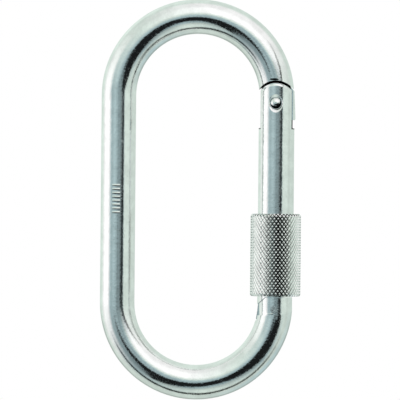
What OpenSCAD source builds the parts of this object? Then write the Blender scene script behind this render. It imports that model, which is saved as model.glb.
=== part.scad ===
// Oval carabiner with a sprung, pin-latched gate and a knurled screw sleeve.
// Millimetres, +Z up. The origin is the hanging point: the lowest point of the top bow's inner
// surface is at z = 0, and the oval lies in the XZ plane with its spine at -X and its gate at +X.

/* [Frame] */
// Overall height of the oval
oval_h = 110; // [106:0.5:116]
// Overall width of the oval, measured over the frame's bar
oval_w = 53; // [52:0.5:56]
// Diameter of the frame's round bar
bar_d = 9.5; // [9.3:0.1:9.6]
// Depth turned off the nose, so that the sleeve clears it
nose_turned = 0.08; // [0.05:0.01:0.12]

/* [Gate] */
// Outer diameter of the gate's barrel
gate_d = 9.8; // [9.7:0.1:9.9]
// Drop of the hinge pin below the centre of the top bow
hinge_drop = 2; // [1.5:0.1:2.5]
// Radius of the gate's round top end about the hinge pin
gate_end_r = 5.55; // [5.4:0.05:5.65]
// Width of the slot in the gate's top end
hinge_slot_w = 4.8; // [4.6:0.1:5]
// Thickness of the gate's latch tongue
latch_w = 3; // [2.8:0.1:3.1]
// Diameter of the hinge rivet's shank
rivet_d = 2.5; // [2.2:0.1:2.6]
// Diameter of the latch pin
latch_pin_d = 2; // [1.8:0.1:2]

/* [Sleeve] */
// Outer diameter of the sleeve, over its knurled band
sleeve_d = 13.9; // [13.6:0.1:14.2]
// Length of the sleeve
sleeve_l = 22.6; // [22:0.1:23]
// Distance that the sleeve moves down to lock
sleeve_travel = 5.2; // [4.5:0.1:5.2]
// Pitch of the thread rings
thread_pitch = 1; // [0.8:0.1:1.2]

/* [Spring] */
// Diameter of the gate spring's wire
wire_d = 0.5; // [0.4:0.05:0.5]
// Number of turns in the gate spring
spring_turns = 9; // [7:1:10]

/* [Hidden] */
$fn = 64;
eps = 0.02;            // part clearances of pressed and resting pieces

bar_r = bar_d / 2;
gate_r = gate_d / 2;
arc_r = (oval_w - bar_d) / 2;              // centreline radius of both bows
gate_x = arc_r;                            // axis of the gate
top_z = bar_r - arc_r;                     // centre of the top bow
low_z = top_z - (oval_h - oval_w);         // centre of the bottom bow
pin_z = top_z - hinge_drop;                // hinge pin

// hinge
seat_r = gate_end_r + 0.4;                 // concave seat in the frame's shoulder
seat_z = pin_z + 0.3;                      // its centre, above the pin: the gap is widest at the top
hinge_tongue_w = hinge_slot_w - 0.3;
cam_r = 4.5;                               // round cam under the hinge tongue
cam_off = 1.8;                             // its centre, inwards of the hinge pin
slot_floor_z = pin_z - 6.8;
dish_r = 1.6;                              // floor of the dish round each rivet head
dish_y = gate_r - 0.63;
dish_slope = 34;                           // degrees
rivet_head_r = 1.5;

// latch: x is measured from the gate's axis and z from the bottom bow's centre
latch_pin_z = low_z - 1.5;
nose_top_z = low_z + 1.68;
gate_bottom_z = nose_top_z + 0.15;         // both faces are round about the hinge pin
ramp_x = -2.5;                             // where the level joint turns into the ramp
ramp_slope = 0.85;
ramp_gap = 0.2;
ramp_step = 0.06;                          // where the ramp starts, above the middle of the joint
latch_slot_w = latch_w + 0.4;
latch_slot_end = 2.6;
latch_slot_z = low_z - 4.6;
tongue_bottom_z = low_z - 4.2;
tongue_outer = 2.2;
notch_x = -latch_pin_d / 2 - 0.2;
notch_h = latch_pin_d + 0.5;

// sleeve
sleeve_bottom_z = gate_bottom_z + 0.29;
shoulder_z = sleeve_bottom_z - sleeve_travel - 0.05;   // where the turned nose ends
collar_r = gate_r + 0.1;                   // top collar, which runs on the gate's barrel
mouth_r = gate_r + 0.25;                   // bottom collar, which passes over the nose
bore_r = gate_r + 1.15;                    // relief round the thread
thread_r = gate_r + 0.45;
nut_r = thread_r + 0.3;
collar_l = 3.7;
mouth_l = 3;

// spring and plunger
plunger_r = 1.65;
plunger_bore_r = plunger_r + 0.07;
plunger_top_z = pin_z - cam_r - 0.05;
plunger_l = 11.5;
stem_r = 0.7;
stem_l = 2.5;
spring_l = 14.5;
coil_r = 1.2;
spring_top_z = plunger_top_z - plunger_l - eps;
spring_bottom_z = spring_top_z - spring_l;
bore_bottom_z = spring_bottom_z - eps;

// Height of the gate's slanted seat at x from the gate's axis.
function ramp_z(x) = gate_bottom_z + ramp_step - ramp_slope * (ramp_x - x);

// Cylinder along Y through the point x, z.
module y_cylinder(x, z, r, h) {
    translate([x, 0, z]) rotate([90, 0, 0]) cylinder(r = r, h = h, center = true);
}

// Plate across Y, cut to an outline given in x from the gate's axis and z.
module y_plate(outline, w) {
    translate([gate_x, w / 2, 0]) rotate([90, 0, 0]) linear_extrude(w) polygon(outline);
}

// Half ring of the frame's bar, arching upwards.
module bow() {
    rotate([90, 0, 0]) rotate_extrude(angle = 180) translate([arc_r, 0]) circle(bar_r);
}

// Plate of the frame that the gate's fork turns on: its lower edge is a cam for the plunger.
module hinge_tongue() {
    inner = -4.1;
    outer = 5.15;
    intersection() {
        union() {
            y_plate([
                [inner, pin_z + 7], [3, pin_z + 7], [3.9, pin_z + 4.6], [4.75, pin_z + 3.4],
                [outer, pin_z - 4.2], [outer - 0.3, pin_z - 4.5], [-cam_off, pin_z - 4.4],
                [inner, pin_z - 2]
            ], hinge_tongue_w);
            y_cylinder(gate_x - cam_off, pin_z, cam_r, hinge_tongue_w);
        }
        translate([gate_x, 0, pin_z - 2 * cam_r]) cylinder(r = outer, h = 4 * cam_r);
        translate([gate_x + inner, -bar_r, pin_z - 2 * cam_r]) cube([bar_d, bar_d, 4 * cam_r]);
    }
}

module frame() {
    color("silver") difference() {
        union() {
            translate([-arc_r, 0, low_z]) cylinder(r = bar_r, h = top_z - low_z);
            difference() {
                union() {
                    translate([0, 0, top_z]) bow();
                    translate([gate_x, 0, pin_z]) cylinder(r = bar_r, h = top_z - pin_z);
                }
                y_cylinder(gate_x, seat_z, seat_r, 3 * bar_d);
            }
            translate([0, 0, low_z]) mirror([0, 0, 1]) bow();
            difference() {
                translate([gate_x, 0, low_z]) cylinder(r = bar_r, h = nose_top_z - low_z + 1);
                y_cylinder(gate_x, pin_z, pin_z - nose_top_z, 3 * bar_d);
            }
            hinge_tongue();
        }
        y_cylinder(gate_x, pin_z, rivet_d / 2 + 0.05, bar_d);
        y_cylinder(gate_x, latch_pin_z, latch_pin_d / 2 + eps, 2 * bar_d);
        // ramp on the nose's inner side
        y_plate([
            [ramp_x, nose_top_z + 1], [ramp_x, ramp_z(ramp_x) - ramp_gap],
            [-bar_d, ramp_z(-bar_d) - ramp_gap], [-bar_d, nose_top_z + 1]
        ], 2 * bar_d);
        // slot for the latch tongue, open at the top and on the inner side
        translate([0, -latch_slot_w / 2, latch_slot_z])
            cube([gate_x + latch_slot_end, latch_slot_w, bar_d]);
        // turned nose
        translate([gate_x, 0, shoulder_z]) difference() {
            cylinder(r = bar_d, h = bar_d);
            translate([0, 0, -1]) cylinder(r = bar_r - nose_turned, h = bar_d + 2);
        }
    }
}

module latch_pin() {
    color("silver") y_cylinder(gate_x, latch_pin_z, latch_pin_d / 2, 2 * bar_r - 0.1);
}

// Rings of thread from z0 to z1: tip is the radius of the crests and root that of the body.
module thread_rings(root, tip, z0, z1) {
    turns = floor((z1 - z0) / thread_pitch);
    overlap = (root < tip) ? -0.2 : 0.2;
    for (i = [0 : turns - 1])
        translate([gate_x, 0, z0 + i * thread_pitch])
            rotate_extrude() polygon([
                [root + overlap, 0], [root, 0], [tip, 0.4 * thread_pitch], [tip, 0.5 * thread_pitch],
                [root, 0.9 * thread_pitch], [root + overlap, 0.9 * thread_pitch]
            ]);
}

// Barrel of the gate, with its round top end and its ramped bottom end.
module gate_barrel() {
    beak_z = ramp_z(-gate_r);
    difference() {
        translate([gate_x, 0, beak_z - 1]) cylinder(r = gate_r, h = pin_z + gate_end_r - beak_z + 1);
        difference() {
            translate([gate_x - bar_d, -bar_d, pin_z]) cube([2 * bar_d, 2 * bar_d, bar_d]);
            y_cylinder(gate_x, pin_z, gate_end_r, 3 * bar_d);
        }
        y_plate([
            [ramp_x, ramp_z(ramp_x)], [ramp_x, beak_z - 2], [-bar_d, beak_z - 2],
            [-bar_d, ramp_z(-bar_d)]
        ], 2 * bar_d);
        difference() {
            translate([gate_x + ramp_x, -bar_d, beak_z - 2])
                cube([2 * bar_d, 2 * bar_d, gate_bottom_z - beak_z + 3]);
            y_cylinder(gate_x, pin_z, pin_z - gate_bottom_z, 3 * bar_d);
        }
    }
}

// Tongue that drops into the frame's slot and hooks on the latch pin.
module latch_tongue() {
    y_plate([
        [-4.55, gate_bottom_z + 1], [-4.6, low_z], [-4.8, low_z - 2], [-5.15, tongue_bottom_z],
        [tongue_outer, tongue_bottom_z], [tongue_outer, latch_pin_z - notch_h / 2],
        [notch_x, latch_pin_z - notch_h / 2], [notch_x, latch_pin_z + notch_h / 2],
        [tongue_outer, latch_pin_z + notch_h / 2], [tongue_outer, gate_bottom_z + 1]
    ], latch_w);
}

module gate() {
    color("silver") difference() {
        union() {
            gate_barrel();
            latch_tongue();
            thread_rings(gate_r, thread_r, sleeve_bottom_z + 3.9, sleeve_bottom_z + 13);
        }
        translate([gate_x - bar_d, -hinge_slot_w / 2, slot_floor_z])
            cube([2 * bar_d, hinge_slot_w, bar_d * 2]);
        translate([gate_x, 0, bore_bottom_z])
            cylinder(r = plunger_bore_r, h = slot_floor_z - bore_bottom_z + 1);
        y_cylinder(gate_x, pin_z, rivet_d / 2 + eps, 2 * bar_d);
        for (side = [0, 1]) mirror([0, side, 0])
            translate([gate_x, dish_y, pin_z]) rotate([-90, 0, 0])
                cylinder(r1 = dish_r, r2 = dish_r + 1 / tan(dish_slope), h = 1);
    }
}

module hinge_rivet() {
    head_h = 0.75;
    dome_r = (rivet_head_r * rivet_head_r + head_h * head_h) / (2 * head_h);
    color("lightgray") {
        y_cylinder(gate_x, pin_z, rivet_d / 2, 2 * dish_y + 0.2);
        for (side = [0, 1]) mirror([0, side, 0])
            intersection() {
                translate([gate_x, dish_y + eps + head_h - dome_r, pin_z])
                    rotate([-90, 0, 0]) rotate_extrude() intersection() {
                        circle(dome_r);
                        square(dome_r * 2);
                    }
                translate([gate_x, dish_y + eps, pin_z])
                    rotate([-90, 0, 0]) cylinder(r = rivet_head_r + 1, h = 3);
            }
    }
}

// Height of the spring's centreline after t turns: its first and last turns are closed up.
function coil_z(t) = spring_bottom_z + wire_d / 2 + lookup(t, [
    [0, 0], [1, 1.05 * wire_d],
    [spring_turns - 1, spring_l - 2.05 * wire_d], [spring_turns, spring_l - wire_d]
]);

module gate_spring() {
    sides = 8;
    steps = 18;
    rings = spring_turns * steps;
    points = [
        for (i = [0 : rings], k = [0 : sides - 1])
            let (turn = 360 * i / steps, a = 360 * (k + 0.5) / sides,
                 r = coil_r + wire_d / 2 * cos(a))
            [gate_x + r * cos(turn), r * sin(turn), coil_z(i / steps) + wire_d / 2 * sin(a)]
    ];
    walls = [
        for (i = [0 : rings - 1], k = [0 : sides - 1])
            let (a = i * sides, n = (k + 1) % sides)
            [a + k, a + n, a + sides + n, a + sides + k]
    ];
    ends = [
        [for (k = [sides - 1 : -1 : 0]) k],
        [for (k = [0 : sides - 1]) rings * sides + k]
    ];
    color("gainsboro") polyhedron(points, concat(walls, ends), convexity = 10);
}

module spring_plunger() {
    chamfer = 0.3;
    shoulder = plunger_top_z - plunger_l;
    color("silver") translate([gate_x, 0, 0]) rotate_extrude() polygon([
        [0, shoulder - stem_l], [stem_r, shoulder - stem_l], [stem_r, shoulder],
        [plunger_r, shoulder], [plunger_r, plunger_top_z - chamfer],
        [plunger_r - chamfer, plunger_top_z], [0, plunger_top_z]
    ]);
}

module lock_sleeve() {
    sleeve_r = sleeve_d / 2;
    top_chamfer = 0.7;
    bottom_chamfer = 0.55;
    rim = 0.4;
    color("silver") {
        translate([gate_x, 0, sleeve_bottom_z]) rotate_extrude() polygon([
            [mouth_r + rim, 0], [sleeve_r - bottom_chamfer, 0], [sleeve_r, bottom_chamfer],
            [sleeve_r, sleeve_l - top_chamfer], [sleeve_r - top_chamfer, sleeve_l],
            [collar_r + rim, sleeve_l], [collar_r, sleeve_l - rim], [collar_r, sleeve_l - collar_l],
            [bore_r, sleeve_l - collar_l], [bore_r, mouth_l], [mouth_r, mouth_l], [mouth_r, rim]
        ]);
        thread_rings(bore_r, nut_r, sleeve_bottom_z + 5, sleeve_bottom_z + 12);
    }
}

frame();
latch_pin();
gate();
hinge_rivet();
gate_spring();
spring_plunger();
lock_sleeve();
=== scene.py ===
"""Looks of an oval screw-lock carabiner, built around its CAD frame.

Metres throughout, in the CAD's own frame: +Z up, the gate at +X, the camera at -Y.
The masks of the materials work in millimetres.
"""

import math

import bmesh
import bpy
from mathutils import Matrix, Vector, noise


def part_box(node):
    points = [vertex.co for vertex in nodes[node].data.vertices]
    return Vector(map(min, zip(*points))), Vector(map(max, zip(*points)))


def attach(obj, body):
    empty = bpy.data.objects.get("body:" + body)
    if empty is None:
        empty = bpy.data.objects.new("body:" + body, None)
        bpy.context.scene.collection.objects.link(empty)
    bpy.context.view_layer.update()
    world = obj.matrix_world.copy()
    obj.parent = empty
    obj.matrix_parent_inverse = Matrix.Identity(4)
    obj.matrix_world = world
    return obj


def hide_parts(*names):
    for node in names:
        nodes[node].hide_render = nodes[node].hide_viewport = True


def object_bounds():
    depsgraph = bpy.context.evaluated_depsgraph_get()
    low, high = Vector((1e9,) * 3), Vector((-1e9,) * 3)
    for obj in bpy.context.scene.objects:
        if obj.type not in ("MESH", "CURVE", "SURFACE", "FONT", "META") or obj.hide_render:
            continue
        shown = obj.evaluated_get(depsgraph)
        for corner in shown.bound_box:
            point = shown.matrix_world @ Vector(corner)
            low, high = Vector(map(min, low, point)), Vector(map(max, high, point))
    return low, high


MM = 0.001

# Camera
LENS_MM = 500
SENSOR_MM = 36
VIEW_SIDE = 109.95 * MM      # height of the picture in the plane of the oval
VIEW_AZIMUTH = 4             # degrees, towards the gate's side
VIEW_ROLL = 0.5              # degrees: the oval leans to the right
VIEW_CENTRE = Vector((0.85, 0, -45.66)) * MM

# Dimensions that the CAD's boxes don't give
GATE_R = 4.9 * MM
GATE_END_R = 5.55 * MM       # round top end of the gate, about the hinge pin
SEAT_R = 5.95 * MM           # seat round it in the frame
SEAT_RISE = 0.3 * MM         # centre of the seat, above the pin
NOSE_TURNED = 0.08 * MM      # how far the nose is turned down
NOSE_TOP = 1.68 * MM         # top of the nose, above the centre of the bottom bow
HINGE_SLOT = 4.8 * MM        # width of the slot in the gate
HINGE_TONGUE = 4.5 * MM      # and of the frame's tongue in it
CHEEK_FOOT = 1.5 * MM        # lower end of the cheeks' round edges, above the pin

# Metal
BUMP_HEIGHT = 0.012 * MM     # relief of the grain and scratches
# colour of painted shade, mixed into the metals in gaps, grooves and on shaded sides
PAINTED_SHADE_COLOUR = (0.006, 0.006, 0.007, 1)

# Knurl
KNURL_STARTS = 40            # diamonds round the sleeve
KNURL_ROWS = 16              # diamonds along it
KNURL_DEPTH = 0.4 * MM
KNURL_LAND = 0.56            # width of a diamond's top, as a share of the diamond
KNURL_CROWN = 0.07 * MM      # rise from the corners of a diamond's top to its middle

# Studio: what a reflection meets depends only on its direction. LIGHTS has (degrees from the
# camera's direction, display level) stops for eight ways round that direction, which start at
# the right and go on through the top. The levels are those that show in the polished bar.
BAR_REFLECTS = 0.93
LIGHTS = [
    [(0, 0.63), (18, 0.48), (36, 0.76), (43, 0.895), (74, 0.89), (88, 0.82), (104, 0.86),
     (180, 0.84)],
    [(0, 0.60), (12, 0.75), (20, 0.89), (28, 0.97), (38, 1.05), (50, 1.02), (62, 0.96),
     (92, 0.965), (112, 0.86), (180, 0.86)],
    [(0, 0.50), (12, 0.74), (18, 0.90), (30, 1.05), (58, 1.04), (72, 0.965), (92, 0.95),
     (104, 0.90), (180, 0.88)],
    [(0, 0.55), (10, 0.74), (20, 0.86), (32, 0.925), (42, 0.91), (66, 0.86), (112, 0.86),
     (128, 0.94), (180, 0.9)],
    [(0, 0.635), (24, 0.78), (42, 0.69), (50, 0.76), (60, 0.95), (68, 1.06), (94, 1.06),
     (106, 0.97), (122, 0.92), (180, 0.86)],
    [(0, 0.58), (24, 0.40), (42, 0.47), (54, 0.56), (66, 0.66), (80, 0.66), (92, 0.80),
     (104, 0.85), (180, 0.84)],
    [(0, 0.52), (30, 0.60), (38, 0.71), (48, 0.80), (60, 0.90), (72, 0.91), (100, 0.84),
     (180, 0.84)],
    [(0, 0.50), (48, 0.50), (62, 0.68), (72, 0.80), (96, 0.82), (112, 0.78), (180, 0.84)],
]
LAMP_LEVEL = 0.945           # lights above it are white
WALL_LEVEL = 0.79            # those above it are slightly green, and below it slightly blue
WALL_TINT = (0.94, 1, 0.965)
DIM_TINT = (0.88, 1, 1.02)

# Dark curtains as (softness of the edges in degrees, stops). A stop is (way round in eighths,
# inner edge, outer edge, darkness), with the edges in degrees from the camera's direction.
CURTAIN_LEVEL = 0.11
CURTAIN_TINT = (0.92, 1, 1.04)
CURTAINS = [
    # from the lower left through the bottom to the right
    (2.16, [
        (0.0, 21, 36, 0.95), (0.3, 31, 46, 0.95), (0.55, 47, 58, 0.8), (0.85, 62, 70, 0.3),
        (1.0, 64, 70, 0.0), (4.1, 26, 29, 0.0), (4.3, 20, 29, 0.8), (4.6, 10, 29, 1.0),
        (4.95, 4, 33, 1.0), (5.2, 3, 58, 1.0), (5.4, 3, 46, 1.0), (5.65, 3, 30, 1.0),
        (6.0, 4, 28, 1.0), (7.0, 5, 50, 1.0), (7.7, 16, 50, 1.0), (8.0, 21, 36, 0.95),
    ]),
    # a thin one outside it
    (3.6, [
        (0.0, 84, 90, 0.0), (4.4, 70, 78, 0.0), (4.7, 71, 80, 0.9), (5.0, 72, 82, 1.0),
        (6.0, 80, 93, 1.0), (7.0, 76, 87, 0.9), (7.6, 78, 84, 0.0), (8.0, 84, 90, 0.0),
    ]),
    # a faint one behind the object
    (3.6, [
        (0.0, 142, 172, 0.0), (4.0, 142, 172, 0.0), (4.4, 136, 172, 0.3),
        (7.6, 136, 172, 0.3), (8.0, 142, 172, 0.0),
    ]),
]

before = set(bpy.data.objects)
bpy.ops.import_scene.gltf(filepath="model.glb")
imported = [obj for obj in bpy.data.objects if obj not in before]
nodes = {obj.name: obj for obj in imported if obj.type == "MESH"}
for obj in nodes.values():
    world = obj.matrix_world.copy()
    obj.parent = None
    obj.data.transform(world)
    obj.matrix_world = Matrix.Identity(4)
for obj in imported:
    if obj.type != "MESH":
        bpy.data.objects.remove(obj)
cad_low, cad_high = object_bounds()

sleeve_low, sleeve_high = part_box("lock_sleeve")
rivet_low, rivet_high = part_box("hinge_rivet")
frame_low, frame_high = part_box("frame")

gate_x = (sleeve_low.x + sleeve_high.x) / 2
pin_z = (rivet_low.z + rivet_high.z) / 2
bar_r = frame_high.y
spine_x = frame_low.x + bar_r
top_z = frame_high.z - bar_r - gate_x        # centres of the two bows
low_z = frame_low.z + bar_r + gate_x
gate_mm, pin_mm, low_mm = gate_x / MM, pin_z / MM, low_z / MM    # for the masks


# ---------------------------------------------------------------- mesh helpers

def mesh_object(name, bm, material, smooth_angle=None):
    """Object made from a bmesh, shaded smooth below smooth_angle degrees, or flat."""
    bmesh.ops.recalc_face_normals(bm, faces=bm.faces)
    mesh = bpy.data.meshes.new(name)
    bm.to_mesh(mesh)
    bm.free()
    mesh.materials.append(material)
    obj = bpy.data.objects.new(name, mesh)
    bpy.context.scene.collection.objects.link(obj)
    if smooth_angle is not None:
        mesh.shade_smooth()
        mesh.set_sharp_from_angle(angle=math.radians(smooth_angle))
    return obj


def ring_strip(bm, low, high):
    """Faces between two rings of the same number of vertices."""
    count = len(low)
    for i in range(count):
        j = (i + 1) % count
        bm.faces.new((low[i], low[j], high[j], high[i]))


def round_edges(bm, width, wanted):
    """Rounds, with real geometry, the sharp edges whose middle is wanted."""
    sharp = math.radians(30)
    edges = [
        edge for edge in bm.edges
        if len(edge.link_faces) == 2 and edge.calc_face_angle(0) > sharp
        and wanted((edge.verts[0].co + edge.verts[1].co) / 2)
    ]
    bmesh.ops.bevel(
        bm, geom=edges, offset=width, offset_type="OFFSET", segments=2, profile=0.5,
        affect="EDGES", clamp_overlap=True,
    )


def torus_normal(centre_z, ring_r):
    """Function that gives a point's distance from a bow's centreline, and the normal there."""
    def normal(point):
        arm = Vector((point.x, 0, point.z - centre_z))
        spoke = point - Vector((0, 0, centre_z)) - arm.normalized() * ring_r
        return spoke.length, spoke.normalized()
    return normal


def upright_normal(x):
    """The same for an upright axis at x."""
    def normal(point):
        spoke = Vector((point.x - x, point.y, 0))
        return spoke.length, spoke.normalized()
    return normal


def cross_normal(x, z):
    """The same for an axis along Y through x, z."""
    def normal(point):
        spoke = Vector((point.x - x, 0, point.z - z))
        return spoke.length, spoke.normalized()
    return normal


def polished_copy(node_name, piece_name, material, edge_widths, surfaces):
    """Copy of a CAD node with rounded edges and true normals on its round surfaces.

    edge_widths holds (width, wanted) pairs for round_edges. surfaces holds (function,
    radius) pairs: a corner that lies at that radius, on a face turned at most max_turn from
    the function's normal, takes that normal. The others take weighted normals.
    """
    weld, sliver, near, max_turn = 0.002 * MM, 0.001 * MM, 0.02 * MM, math.radians(14)
    source = nodes[node_name]
    bm = bmesh.new()
    bm.from_mesh(source.data)
    bm.transform(source.matrix_world)
    bmesh.ops.remove_doubles(bm, verts=bm.verts, dist=weld)
    bmesh.ops.dissolve_degenerate(bm, edges=bm.edges, dist=sliver)
    for width, wanted in edge_widths:
        round_edges(bm, width, wanted)
    piece = mesh_object(piece_name, bm, material, smooth_angle=35)
    weighted = piece.modifiers.new("weighted_normals", "WEIGHTED_NORMAL")
    weighted.keep_sharp = True
    weighted.weight = 100
    ready = piece.evaluated_get(bpy.context.evaluated_depsgraph_get()).data
    corners = [Vector(corner.vector) for corner in ready.corner_normals]
    piece.modifiers.clear()
    mesh = piece.data
    for face in mesh.polygons:
        for index in face.loop_indices:
            point = mesh.vertices[mesh.loops[index].vertex_index].co
            best = math.cos(max_turn)
            for function, radius in surfaces:
                distance, normal = function(point)
                if abs(distance - radius) > near:
                    continue
                match = normal.dot(face.normal)
                if abs(match) > best:
                    best = abs(match)
                    corners[index] = normal if match > 0 else -normal
    mesh.normals_split_custom_set(corners)
    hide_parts(node_name)
    return piece


# ---------------------------------------------------------------- node helpers

class Graph:
    """Short calls for building a node tree. Values are numbers or sockets."""

    def __init__(self, tree):
        self.tree = tree
        tree.nodes.clear()

    def node(self, kind, inputs=None, **settings):
        """New node: inputs are given by name or number, settings are its properties."""
        made = self.tree.nodes.new(kind)
        for key, value in settings.items():
            setattr(made, key, value)
        for key, value in (inputs or {}).items():
            if isinstance(value, bpy.types.NodeSocket):
                self.tree.links.new(value, made.inputs[key])
            else:
                made.inputs[key].default_value = value
        return made

    def math(self, operation, a, b=0.0, clamp=False):
        """Result of one operation, kept from 0 to 1 by clamp."""
        made = self.node("ShaderNodeMath", {0: a, 1: b}, operation=operation)
        made.use_clamp = clamp
        return made.outputs[0]

    def product(self, first, *others):
        """All of them multiplied."""
        for other in others:
            first = self.math("MULTIPLY", first, other)
        return first

    def largest(self, first, *others):
        """The largest of them."""
        for other in others:
            first = self.math("MAXIMUM", first, other)
        return first

    def distance(self, u, v, u0, v0):
        """Distance of u, v from u0, v0 in their plane."""
        du, dv = self.math("SUBTRACT", u, u0), self.math("SUBTRACT", v, v0)
        squares = self.math("ADD", self.product(du, du), self.product(dv, dv))
        return self.math("SQRT", squares)

    def step(self, value, low, high):
        """0 below low and 1 above high, with a smooth change between."""
        made = self.node(
            "ShaderNodeMapRange", {0: value, 1: low, 2: high}, interpolation_type="SMOOTHSTEP"
        )
        return made.outputs[0]

    def below(self, value, low, high):
        """1 below low and 0 above high, with a smooth change between."""
        return self.math("SUBTRACT", 1.0, self.step(value, low, high))

    def between(self, value, low, high, soft=0.03):
        """1 from low to high and 0 outside, over edges that are twice soft wide."""
        return self.product(
            self.step(value, low - soft, low + soft), self.below(value, high - soft, high + soft)
        )

    def noise(self, vector, scale, detail=3.0, roughness=0.5):
        """Noise about 0.5, with scale as features per unit of vector."""
        made = self.node("ShaderNodeTexNoise", {
            "Vector": vector, "Scale": scale, "Detail": detail, "Roughness": roughness,
        })
        return made.outputs["Fac"]

    def ramp(self, value, stops):
        """Colour ramp from (place, colour) stops."""
        made = self.node("ShaderNodeValToRGB", {0: value})
        elements = made.color_ramp.elements
        while len(elements) < len(stops):
            elements.new(0.5)
        for element, (place, colour) in zip(elements, stops):
            element.position = place
            element.color = (*colour, 1.0)
        return made.outputs["Color"]

    def mix(self, factor, a, b):
        """Colour mix from a at 0 to b at 1."""
        made = self.node("ShaderNodeMix", {0: factor, 6: a, 7: b}, data_type="RGBA")
        return made.outputs[2]


# ---------------------------------------------------------------- materials

def metal(name, base, roughness, haze=0.12, grain=0.25, scratches=0.3, painted_shade=None, relief=None):
    """Bright metal with fine scratches, a slight haze and painted shade where a mask says.

    haze is how much darker the metal gets in places. grain and scratches are shares of
    BUMP_HEIGHT, and scratches also makes the metal rougher.
    The painted-shade function and relief take the graph and the x, y, z sockets in millimetres.
    The first returns a mask socket, 1 where shade is painted dark into the metal, and relief a
    height in millimetres.
    """
    material = bpy.data.materials.new(name)
    material.use_nodes = True
    g = Graph(material.node_tree)
    place = g.node("ShaderNodeTexCoord").outputs["Object"]
    place_mm = g.node(
        "ShaderNodeVectorMath", {0: place, "Scale": 1 / MM}, operation="SCALE"
    ).outputs[0]
    x, y, z = g.node("ShaderNodeSeparateXYZ", {0: place_mm}).outputs

    clouds = g.step(g.noise(place_mm, scale=0.35, detail=4.0, roughness=0.6), 0.3, 0.7)
    spots = g.step(g.noise(place_mm, scale=2.2, roughness=0.6), 0.45, 0.75)
    fine = g.noise(place_mm, scale=2.0, roughness=0.6)
    along = g.node("ShaderNodeMapping", {
        "Vector": place_mm, "Scale": (5.0, 5.0, 0.35),
    }).outputs[0]
    across = g.node("ShaderNodeMapping", {
        "Vector": place_mm, "Rotation": (0.3, 0.5, 0.4), "Scale": (0.5, 6.0, 5.0),
    }).outputs[0]
    lines = g.math(
        "ADD", g.step(g.noise(along, scale=1.4, detail=2.0, roughness=0.7), 0.62, 0.72),
        g.step(g.noise(across, scale=1.1, detail=2.0, roughness=0.7), 0.64, 0.74), clamp=True,
    )

    dark = tuple(c * (1 - haze) for c in base)
    colour = g.mix(clouds, (*dark, 1), (*base, 1))
    spot_rough, line_rough, line_depth = 0.05, 0.12 * scratches, 0.4 * scratches
    rough = g.math("ADD", roughness, g.product(spots, spot_rough))
    rough = g.math("ADD", rough, g.product(lines, line_rough))

    height = g.math("ADD", g.product(fine, grain), g.product(lines, -line_depth))
    if relief:
        relief_mm = relief(g, x, y, z)
        height = g.math("ADD", height, g.math("DIVIDE", relief_mm, BUMP_HEIGHT / MM))
    bump = g.node("ShaderNodeBump", {"Strength": 1.0, "Distance": BUMP_HEIGHT, "Height": height})

    shader = g.node("ShaderNodeBsdfPrincipled", {"Metallic": 1.0, "Normal": bump.outputs[0]})
    # Painted shade: a near-black colour mixed in by the mask, with the metal made rougher there.
    if painted_shade:
        patchiness, shade_start, shade_full, shaded_rough = 0.3, 0.45, 0.75, 0.5
        patches = g.product(g.noise(place_mm, scale=3.0), patchiness)
        mask = g.step(g.math("ADD", painted_shade(g, x, y, z), patches), shade_start, shade_full)
        colour = g.mix(mask, colour, PAINTED_SHADE_COLOUR)
        rough = g.math("ADD", rough, g.product(mask, shaded_rough))
    g.tree.links.new(colour, shader.inputs["Base Color"])
    g.tree.links.new(rough, shader.inputs["Roughness"])
    g.node("ShaderNodeOutputMaterial", {0: shader.outputs[0]})
    return material


def frame_painted_shade(g, x, y, z):
    """Painted shade beside the hinge tongue, in the gate's seat and in a dark lens above its crown.
    """
    depth = g.math("ABSOLUTE", y)
    tongue_mm, seat_mm = HINGE_TONGUE / 2 / MM, SEAT_R / MM
    outer_side = gate_mm + 3.9
    from_seat = g.distance(x, z, gate_mm, pin_mm + SEAT_RISE / MM)
    # painted shade beside the hinge tongue, in the slot's gap
    beside = g.product(
        g.between(depth, tongue_mm - 0.15, tongue_mm + 0.05),
        g.below(from_seat, seat_mm + 0.02, seat_mm + 0.08),
        g.below(x, outer_side, outer_side + 0.15),
    )

    seat_top_inside = g.product(
        g.math("LESS_THAN", x, gate_mm), g.math("GREATER_THAN", z, pin_mm + 2.0)
    )
    off_tongue = g.step(depth, tongue_mm + 0.02, tongue_mm + 0.1)
    # painted shade in the gap of the gate's seat
    seat = g.product(
        g.between(from_seat, 5.0, seat_mm + 0.02, soft=0.02),
        g.largest(off_tongue, seat_top_inside),
    )

    # painted shade: a dark lens above the gate's crown
    shade_lens_x, shade_lens_z, shade_lens_half_l, shade_lens_half_h = gate_mm - 0.5, pin_mm + 6.58, 1.3, 0.3
    shade_lens_u = g.math("DIVIDE", g.math("SUBTRACT", x, shade_lens_x), shade_lens_half_l)
    shade_lens_v = g.math("DIVIDE", g.math("SUBTRACT", z, shade_lens_z), shade_lens_half_h)
    shade_lens = g.product(
        g.below(g.distance(shade_lens_u, shade_lens_v, 0.0, 0.0), 0.8, 1.1), g.math("LESS_THAN", y, 0.0)
    )
    return g.largest(shade_lens, beside, seat)


def nose_ridge(g, x, y, z):
    """Low ridge across the front of the nose."""
    ridge_z, half_w, ridge_h = low_mm - 2.66, 0.1, 0.035
    return g.product(
        g.between(x, gate_mm - 2.0, gate_mm - 0.3, soft=0.2), g.math("LESS_THAN", y, 0.0),
        g.between(z, ridge_z - half_w, ridge_z + half_w, soft=half_w), ridge_h,
    )


def gate_painted_shade(g, x, y, z):
    """Painted shade on the walls of the hinge slot."""
    wall_mm, floor_mm = HINGE_SLOT / 2 / MM, pin_mm - 7.2
    depth = g.math("ABSOLUTE", y)
    return g.product(
        g.step(z, floor_mm, floor_mm + 0.3), g.below(depth, wall_mm + 0.02, wall_mm + 0.08)
    )


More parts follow.
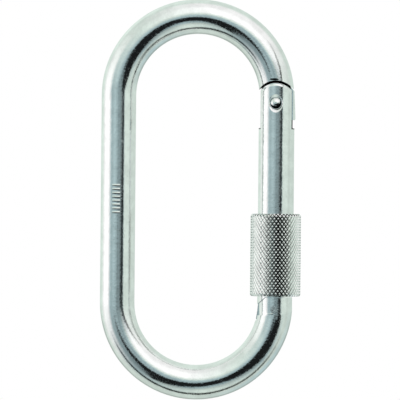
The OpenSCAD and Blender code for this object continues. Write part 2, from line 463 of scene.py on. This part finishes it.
def gate_crown(g, x, y, z):
    """Soft shoulder along the round top of the gate's two cheeks."""
    end_mm, drop_mm = GATE_END_R / MM, 0.12
    fall = g.step(g.distance(x, z, gate_mm, pin_mm), end_mm - 0.8, end_mm - 0.15)
    return g.product(fall, g.step(z, pin_mm + 1.0, pin_mm + 3.0), -drop_mm)


def knurl_painted_shade(g, x, y, z):
    """Painted shade in the knurl's grooves: in one set on the oval's side, in the other outside."""
    row_mm = (sleeve_high.z - sleeve_low.z) / KNURL_ROWS / MM
    across = g.math("SUBTRACT", x, gate_mm)
    around = g.product(g.math("ARCTAN2", y, across), KNURL_STARTS / (2 * math.pi))
    up = g.math("DIVIDE", g.math("SUBTRACT", z, sleeve_low.z / MM), row_mm)

    def groove(place):
        """1 in the bottom of the grooves, which run halfway between whole places."""
        share = g.math("FLOORED_MODULO", place, 1.0)
        return g.below(g.math("ABSOLUTE", g.math("SUBTRACT", share, 0.5)), 0.08, 0.22)

    # painted shade in one set of grooves on the oval's side and in the other outside
    inner = g.product(groove(g.math("ADD", around, up)), g.below(across, 3.0, 5.5))
    outer = g.product(groove(g.math("SUBTRACT", around, up)), g.step(across, -4.5, -1.5))
    overall, in_strip = 0.45, 0.27
    strip = g.product(g.between(across, 0.9, 3.8, soft=1.6), in_strip)
    return g.product(g.largest(inner, outer), g.math("ADD", overall, strip))


def rivet_painted_shade(g, x, y, z):
    """Painted shadow: a dark crescent round the lower right of each dome."""
    unshaded_x, unshaded_z, unshaded_r = gate_mm - 0.25, pin_mm + 0.7, 1.3
    return g.step(g.distance(x, z, unshaded_x, unshaded_z), unshaded_r, unshaded_r + 0.2)


# ---------------------------------------------------------------- stage

def light_colour(level, tint):
    """Linear colour of a light that shows in the bar at a display level times tint."""
    def linear(value):
        return value / 12.92 if value <= 0.04045 else ((value + 0.055) / 1.055) ** 2.4
    return tuple(linear(level * t) / BAR_REFLECTS for t in tint)


def light_ramp(g, rho, stops):
    """Ramp over the angle from the camera's direction, from (degrees, display level) stops."""
    def tint(level):
        if level > LAMP_LEVEL:
            return (1, 1, 1)
        return WALL_TINT if level > WALL_LEVEL else DIM_TINT
    return g.ramp(rho, [
        (angle / 180, light_colour(level, tint(level))) for angle, level in stops
    ])


def make_world():
    """Studio round the object: white to the camera, LIGHTS and CURTAINS to a reflection."""
    world = bpy.data.worlds.new("studio")
    bpy.context.scene.world = world
    world.use_nodes = True
    g = Graph(world.node_tree)
    direction = g.node("ShaderNodeTexCoord").outputs["Generated"]
    turned = g.node("ShaderNodeVectorRotate", {
        "Vector": direction, "Axis": (0, 0, 1), "Angle": -math.radians(VIEW_AZIMUTH),
    }, rotation_type="AXIS_ANGLE").outputs[0]
    x, y, z = g.node("ShaderNodeSeparateXYZ", {0: turned}).outputs
    # angle from the camera's direction in half turns, and way round it in eighths of a turn
    rho = g.math("DIVIDE", g.math("ARCCOSINE", g.product(y, -1.0)), math.pi)
    way_round = g.math(
        "FLOORED_MODULO", g.math("DIVIDE", g.math("ARCTAN2", z, x), math.pi / 4), 8.0
    )

    colour = (0, 0, 0)
    for way, stops in enumerate(LIGHTS):
        # 1 at this way, and down to 0 at the two beside it
        past = g.math("FLOORED_MODULO", g.math("SUBTRACT", way_round, way), 8.0)
        from_opposite = g.math("ABSOLUTE", g.math("SUBTRACT", past, 4.0))
        share = g.math("SUBTRACT", from_opposite, 3.0, clamp=True)
        part = g.node(
            "ShaderNodeVectorMath", {0: light_ramp(g, rho, stops), "Scale": share},
            operation="SCALE",
        ).outputs[0]
        colour = g.node("ShaderNodeVectorMath", {0: colour, 1: part}, operation="ADD").outputs[0]

    dark = light_colour(CURTAIN_LEVEL, CURTAIN_TINT)
    for soft_degrees, stops in CURTAINS:
        soft = soft_degrees / 180
        shape = g.ramp(g.math("DIVIDE", way_round, 8.0), [
            (way / 8, (inner / 180, outer / 180, darkness)) for way, inner, outer, darkness in stops
        ])
        inner, outer, darkness = g.node("ShaderNodeSeparateColor", {0: shape}).outputs
        inside = g.product(
            g.step(g.math("SUBTRACT", rho, inner), -2 * soft, soft),
            g.step(g.math("SUBTRACT", outer, rho), -soft, soft),
        )
        colour = g.mix(g.product(inside, darkness), colour, (*dark, 1))

    studio = g.node("ShaderNodeBackground", {"Color": colour, "Strength": 1.0})
    white = g.node("ShaderNodeBackground", {"Color": (1, 1, 1, 1), "Strength": 1.0})
    is_camera = g.node("ShaderNodeLightPath").outputs["Is Camera Ray"]
    mixed = g.node("ShaderNodeMixShader", {0: is_camera, 1: studio.outputs[0], 2: white.outputs[0]})
    g.node("ShaderNodeOutputWorld", {0: mixed.outputs[0]})


def make_floor():
    """Pale disc well below the hanging object, and a sun for it that no reflection shows."""
    drop, radius = 100 * MM, 1.0
    bm = bmesh.new()
    bmesh.ops.create_circle(bm, cap_ends=True, segments=96, radius=radius)
    material = bpy.data.materials.new("pale_floor")
    material.use_nodes = True
    g = Graph(material.node_tree)
    place = g.node("ShaderNodeTexCoord").outputs["Object"]
    shade = g.mix(g.noise(place, scale=6.0), (0.9, 0.9, 0.9, 1), (0.94, 0.94, 0.935, 1))
    shader = g.node("ShaderNodeBsdfPrincipled", {"Base Color": shade, "Roughness": 0.7})
    g.node("ShaderNodeOutputMaterial", {0: shader.outputs[0]})
    floor = mesh_object("floor", bm, material)
    floor.location.z = cad_low.z - drop
    floor.visible_glossy = False

    sun = bpy.data.objects.new("floor_light", bpy.data.lights.new("floor_light", "SUN"))
    sun.data.energy = 1.6
    sun.data.angle = math.radians(25)
    sun.visible_glossy = False
    bpy.context.scene.collection.objects.link(sun)


def make_camera():
    """Long lens at the photo's viewing angle, rolled so that the oval leans."""
    data = bpy.data.cameras.new("camera")
    data.lens = LENS_MM
    data.sensor_width = SENSOR_MM
    data.clip_start, data.clip_end = 0.01, 10
    camera = bpy.data.objects.new("camera", data)
    bpy.context.scene.collection.objects.link(camera)
    azimuth, roll = math.radians(VIEW_AZIMUTH), math.radians(VIEW_ROLL)
    back = Vector((math.sin(azimuth), -math.cos(azimuth), 0))
    side = Vector((math.cos(azimuth), math.sin(azimuth), 0))
    up = Vector((0, 0, 1))
    x_axis = side * math.cos(roll) + up * math.sin(roll)
    y_axis = up * math.cos(roll) - side * math.sin(roll)
    turn = Matrix((x_axis, y_axis, back)).transposed().to_4x4()
    distance = VIEW_SIDE * LENS_MM / SENSOR_MM
    camera.matrix_world = Matrix.Translation(VIEW_CENTRE + back * distance) @ turn
    bpy.context.scene.camera = camera
    bpy.context.scene.view_settings.view_transform = "Standard"


# ---------------------------------------------------------------- pieces

def knurled_sleeve(material):
    """Sleeve with a cut diamond knurl, chamfered ends and a relieved, threaded bore."""
    outer = (sleeve_high.x - sleeve_low.x) / 2
    length = sleeve_high.z - sleeve_low.z
    top_chamfer, bottom_chamfer, rim = 0.5 * MM, 0.4 * MM, 0.4 * MM
    collar_r, collar_l = 5.0 * MM, 3.7 * MM      # bore at the top
    mouth_r, mouth_l = 5.15 * MM, 3 * MM         # and at the bottom
    relief_r = 6.05 * MM                         # wider bore between them
    thread_z, threads, thread_h, pitch = 5 * MM, 7, 0.4 * MM, 1.0 * MM
    turn = 2 * math.pi / KNURL_STARTS
    row = length / KNURL_ROWS
    same_angle, same_z = 1e-5, 1e-8              # steps in which a vertex is looked up
    bm = bmesh.new()
    found = {}

    def vertex(angle, z, depth):
        """Vertex of the knurl so deep below its full radius, kept under the chamfers.

        There is one vertex at a place, which all the diamonds that meet there use.
        """
        angle %= 2 * math.pi
        if 2 * math.pi - angle < same_angle:
            angle = 0.0
        key = (round(angle / same_angle), round(z / same_z))
        if key not in found:
            radius = min(
                outer - depth, outer - bottom_chamfer + z, outer - top_chamfer + length - z
            )
            found[key] = bm.verts.new((
                gate_x + radius * math.cos(angle), radius * math.sin(angle), sleeve_low.z + z
            ))
        return found[key]

    def diamond(angle, z):
        """Diamond centred at angle, z, with a low point, or the half of it on the sleeve.

        A half has a flat top, and its first side is the cut, which lies on the end face.
        """
        corners, whole = [(-0.5, 0), (0, -0.5), (0.5, 0), (0, 0.5)], True
        if z < same_z:
            corners, whole = [(-0.5, 0), (0.5, 0), (0, 0.5)], False
        elif z > length - same_z:
            corners, whole = [(0.5, 0), (-0.5, 0), (0, -0.5)], False
        valley = [vertex(angle + u * turn, z + v * row, KNURL_DEPTH) for u, v in corners]
        land = [
            vertex(angle + KNURL_LAND * u * turn, z + KNURL_LAND * v * row, KNURL_CROWN)
            for u, v in corners
        ]
        if whole:
            point = vertex(angle, z, 0)
        else:
            bm.faces.new(land)
        for i in range(len(corners)):
            j = (i + 1) % len(corners)
            if whole:
                bm.faces.new((land[i], land[j], point))
            if whole or i > 0:
                bm.faces.new((valley[i], valley[j], land[j], land[i]))

    # every second level of diamonds stands half a diamond round
    for level in range(2 * KNURL_ROWS + 1):
        for step in range(KNURL_STARTS):
            diamond((step + 0.5 * (level % 2)) * turn, level * row / 2)

    # one angle for each vertex round an end: a groove, then both ends of a diamond's top
    angles = []
    for step in range(KNURL_STARTS):
        angles += [(step + share) * turn for share in (-0.5, -KNURL_LAND / 2, KNURL_LAND / 2)]

    def ring(radius, z):
        """Ring of the bore at z."""
        return [
            bm.verts.new((gate_x + radius * math.cos(a), radius * math.sin(a), sleeve_low.z + z))
            for a in angles
        ]

    profile = [
        (mouth_r + rim, 0), (mouth_r + 0.1 * rim, 0.3 * rim), (mouth_r, rim), (mouth_r, mouth_l),
        (relief_r, mouth_l),
    ]
    for i in range(threads):
        z = thread_z + i * pitch
        profile += [
            (relief_r, z), (relief_r - thread_h, z + 0.35 * pitch),
            (relief_r - thread_h, z + 0.5 * pitch), (relief_r, z + 0.85 * pitch),
        ]
    profile += [
        (relief_r, length - collar_l), (collar_r, length - collar_l), (collar_r, length - rim),
        (collar_r + 0.1 * rim, length - 0.3 * rim), (collar_r + rim, length),
    ]
    bottom, top = [
        [vertex(a, z, KNURL_CROWN if i % 3 else KNURL_DEPTH) for i, a in enumerate(angles)]
        for z in (0, length)
    ]
    rings = [bottom, *(ring(radius, z) for radius, z in profile), top]
    for low, high in zip(rings, rings[1:]):
        ring_strip(bm, low, high)
    piece = mesh_object("knurled_sleeve", bm, material, smooth_angle=12)
    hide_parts("lock_sleeve")
    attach(piece, "sleeve")


def hinge_rivet(material):
    """Rivet with a peened, slightly uneven dome at each end."""
    head_r = (rivet_high.x - rivet_low.x) / 2
    top = rivet_high.y
    head_h, head_rim, shank_r = 0.75 * MM, 0.05 * MM, 1.25 * MM
    dent_h, dents_per_mm, crown_drop = 0.025 * MM, 2.2, 0.05 * MM
    segments, steps = 64, 14
    other_dents = Vector((3, 0, 0))              # so that the two domes differ
    weld = 0.0001 * MM
    ball = (head_r ** 2 + head_h ** 2) / (2 * head_h)
    limit = math.asin(head_r / ball)
    profile = [(shank_r, 0.0), (shank_r, top - head_h), (head_r - head_rim, top - head_h)]
    for i in range(steps):
        a = limit * (1 - i / steps)
        profile.append((ball * math.sin(a), top - ball + ball * math.cos(a)))

    bm = bmesh.new()
    for side in (-1, 1):
        rings = []
        for r, y in profile:
            ring = []
            for k in range(segments):
                a = 2 * math.pi * k / segments
                point = Vector((gate_x + r * math.cos(a), side * y, pin_z + r * math.sin(a)))
                if y > top - head_h:
                    place = point / MM * dents_per_mm + other_dents * side
                    point.y -= side * dent_h * noise.noise(place)
                ring.append(bm.verts.new(point))
            rings.append(ring)
        for low, high in zip(rings, rings[1:]):
            ring_strip(bm, low, high)
        crown = bm.verts.new((gate_x, side * (top - crown_drop), pin_z))
        last = rings[-1]
        for k in range(segments):
            bm.faces.new((last[k], last[(k + 1) % segments], crown))
    bmesh.ops.remove_doubles(bm, verts=bm.verts, dist=weld)
    piece = mesh_object("peened_rivet", bm, material, smooth_angle=50)
    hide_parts("hinge_rivet")
    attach(piece, "gate")


def tick_marks(material):
    """Row of plain stamped ticks on the front of the spine, each with two sloping flanks."""
    count, gap, first_z = 8, 1.06 * MM, -41.8 * MM
    left, right = -1.25 * MM, 0.95 * MM
    # (lift off the bar, rise) of the upper edge, the ridge and the lower edge
    section = [(-0.02 * MM, 0.42 * MM), (0.06 * MM, 0.0), (-0.02 * MM, -0.34 * MM)]
    steps = 6
    bm = bmesh.new()
    for tick in range(count):
        rows = []
        for i in range(steps + 1):
            a = math.asin((left + (right - left) * i / steps) / bar_r)
            rows.append([
                bm.verts.new((
                    spine_x + (bar_r + lift) * math.sin(a), -(bar_r + lift) * math.cos(a),
                    first_z - tick * gap + rise
                ))
                for lift, rise in section
            ])
        for low, high in zip(rows, rows[1:]):
            ring_strip(bm, low, high)
        bm.faces.new(rows[0])
        bm.faces.new(rows[-1])
    piece = mesh_object("tick_marks", bm, material, smooth_angle=12)
    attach(piece, "frame")


make_camera()
make_world()
make_floor()

# The dark masks passed below paint shade into these metals' colour.
bar_metal = metal(
    "polished_bar", (0.93, 0.935, 0.93), 0.05, grain=1.6, scratches=1.0, painted_shade=frame_painted_shade,
    relief=nose_ridge,
)
gate_metal = metal(
    "polished_gate", (0.925, 0.93, 0.925), 0.06, grain=1.6, scratches=1.0, painted_shade=gate_painted_shade,
    relief=gate_crown,
)
knurl_metal = metal("knurled_metal", (0.96, 0.965, 0.95), 0.13, grain=0.1, painted_shade=knurl_painted_shade)
rivet_metal = metal("rivet_steel", (0.92, 0.92, 0.91), 0.08, painted_shade=rivet_painted_shade)
pin_metal = metal("pin_steel", (0.95, 0.95, 0.95), 0.2, haze=0.18, grain=5.0)
spring_metal = metal("spring_steel", (0.5, 0.5, 0.5), 0.3)
mark_metal = metal("stamped_mark", (0.93, 0.935, 0.93), 0.12)

gate_side, spine_side = upright_normal(gate_x), upright_normal(spine_x)
about_pin = cross_normal(gate_x, pin_z)
hinge_half_z = low_z + 30 * MM               # the frame's hinge is above it, its nose below
cheek_foot_z = pin_z + CHEEK_FOOT
cheek_edge_y = HINGE_SLOT / 2 + 0.2 * MM     # leaves out the edges of the slot
crisp, eased, rounded = 0.04 * MM, 0.1 * MM, 0.16 * MM
bar = polished_copy(
    "frame", "polished_bar", bar_metal,
    [(eased, lambda p: p.z > hinge_half_z), (crisp, lambda p: p.z < hinge_half_z)],
    [(torus_normal(top_z, gate_x), bar_r), (torus_normal(low_z, gate_x), bar_r),
     (spine_side, bar_r), (gate_side, bar_r), (gate_side, bar_r - NOSE_TURNED),
     (cross_normal(gate_x, pin_z + SEAT_RISE), SEAT_R), (about_pin, pin_z - low_z - NOSE_TOP)],
)
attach(bar, "frame")
barrel = polished_copy(
    "gate", "polished_gate", gate_metal,
    [(rounded, lambda p: p.z > cheek_foot_z and abs(p.y) > cheek_edge_y),
     (crisp, lambda p: p.z <= cheek_foot_z)],
    [(gate_side, GATE_R), (about_pin, GATE_END_R)],
)
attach(barrel, "gate")

for name, material in [
    ("latch_pin", pin_metal), ("spring_plunger", pin_metal), ("gate_spring", spring_metal),
]:
    nodes[name].data.materials.clear()
    nodes[name].data.materials.append(material)

knurled_sleeve(knurl_metal)
hinge_rivet(rivet_metal)
tick_marks(mark_metal)
